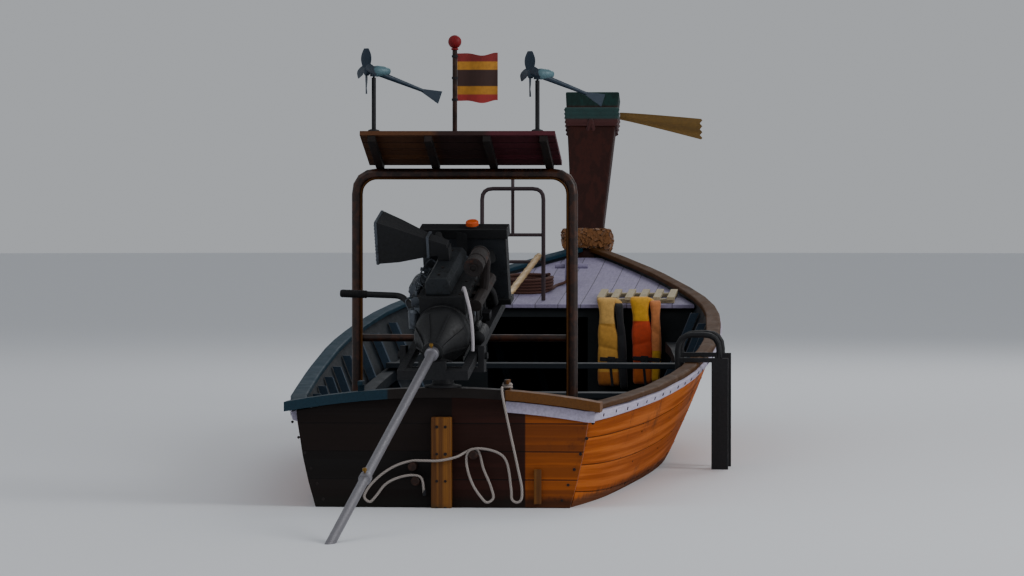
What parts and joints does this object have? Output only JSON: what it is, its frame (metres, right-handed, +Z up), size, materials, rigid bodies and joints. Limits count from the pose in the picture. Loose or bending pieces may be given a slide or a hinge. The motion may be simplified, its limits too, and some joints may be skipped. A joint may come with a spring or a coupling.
{
  "type": "longtail boat",
  "caption": "Open wooden longtail boat with a high prow, raised foredeck, stern arch and a swinging engine that drives a long shaft and propeller.",
  "frame": {"origin": "amidships on the centreline, at the waterline", "axes": "+X towards the bow, +Y to port, +Z up"},
  "size_m": [14.4825, 2.4626, 3.0392],
  "materials": {
    "varnished_planking": "worn varnish",
    "dark_timber": "weathered",
    "prow_timber": "dark red-brown varnish",
    "amber_timber": "bare timber",
    "teal_paint": "satin paint on timber",
    "gold_paint": "satin paint on timber",
    "pale_paint": "chalky paint on timber",
    "inside_paint": "matt paint on timber",
    "deck_paint": "matt paint on timber",
    "iron": "black paint, rusting",
    "engine_metal": "black, oily",
    "grey_metal": "dull cast and tube",
    "black_plastic": "matt",
    "tube_metal": "bright, worn",
    "bronze": "dull bronze",
    "rope": "laid rope",
    "bamboo": "dry cane",
    "orange_cloth": "woven, faded",
    "can_plastic": "scuffed",
    "flag_cloth": "thin woven cloth",
    "gold_cloth": "thin glossy cloth",
    "green_cloth": "thin glossy cloth",
    "red_paint": "gloss paint on timber",
    "navy_paint": "satin paint"
  },
  "bodies": {
    "root": {"hull_shell": "varnished_planking", "transom_board": "dark_timber", "transom_cap": "teal_paint", "stern_post": "amber_timber", "keel": "dark_timber", "prow_post": "prow_timber", "gunwale_port": "teal_paint", "gunwale_starboard": "gold_paint", "rub_rail_port": "pale_paint", "rub_rail_starboard": "pale_paint", "frames_aft": "inside_paint", "frames_fore": "inside_paint", "seat_riser_port": "inside_paint", "seat_riser_starboard": "inside_paint", "sole_boards": "inside_paint", "stern_platform": "inside_paint", "thwart_1": "inside_paint", "thwart_2": "inside_paint", "thwart_3": "inside_paint", "thwart_4": "inside_paint", "foredeck": "deck_paint", "bulkhead": "inside_paint", "fore_hoop": "grey_metal", "deck_grating": "pale_paint", "anchor_rope_coil": "rope", "anchor_rope_lead": "rope", "punt_pole": "bamboo", "stern_arch": "dark_timber", "roof_board": "dark_timber", "flag_staff": "red_paint", "flag": "flag_cloth", "vane_pole_port": "iron", "vane_pole_starboard": "iron", "boarding_ladder": "iron", "prow_garland": "gold_cloth", "prow_sash": "green_cloth", "prow_streamer": "gold_cloth", "life_vest_1": "orange_cloth", "life_vest_2": "orange_cloth", "fuel_can": "can_plastic", "stern_rope": "rope", "swivel_socket": "iron"},
    "swivel": {"swivel_fork": "iron"},
    "engine": {"engine_frame": "iron", "engine_block": "engine_metal", "valve_cover": "grey_metal", "air_cleaner": "black_plastic", "exhaust": "iron", "radiator": "engine_metal", "belt_drive": "grey_metal", "alternator": "grey_metal", "bell_housing": "grey_metal", "tail_tube": "tube_metal", "skeg": "iron", "tiller": "iron"},
    "propeller": {"propeller": "bronze"},
    "vane_port": {"vane_port": "navy_paint"},
    "rotor_port": {"vane_rotor_port": "navy_paint"},
    "vane_starboard": {"vane_starboard": "navy_paint"},
    "rotor_starboard": {"vane_rotor_starboard": "navy_paint"}
  },
  "joints": [
    {"name": "steer", "type": "hinge", "parent": "root", "child": "swivel", "pos_m": [-4.905, 0, 0.7], "axis": [0, 0, 1], "range_deg": [-44.8, 55.2]},
    {"name": "tail_tilt", "type": "hinge", "parent": "swivel", "child": "engine", "pos_m": [-4.905, 0, 0.785], "axis": [0.0906, 0.9959, 0], "range_deg": [-10, 28]},
    {"name": "propeller_spin", "type": "hinge", "parent": "engine", "child": "propeller", "pos_m": [-8.77099, 0.35183, -0.36067], "axis": [0.9471, -0.0862, 0.309], "continuous": true},
    {"name": "vane_port_turn", "type": "hinge", "parent": "root", "child": "vane_port", "pos_m": [-4.11684, 0.449, 2.266], "axis": [0, 0, 1], "continuous": true},
    {"name": "rotor_port_spin", "type": "hinge", "parent": "vane_port", "child": "rotor_port", "pos_m": [-4.13562, 0.48432, 2.266], "axis": [-0.4695, 0.8829, 0], "continuous": true},
    {"name": "vane_starboard_turn", "type": "hinge", "parent": "root", "child": "vane_starboard", "pos_m": [-4.11684, -0.423, 2.25], "axis": [0, 0, 1], "continuous": true},
    {"name": "rotor_starboard_spin", "type": "hinge", "parent": "vane_starboard", "child": "rotor_starboard", "pos_m": [-4.13562, -0.38768, 2.25], "axis": [-0.4695, 0.8829, 0], "continuous": true}
  ]
}
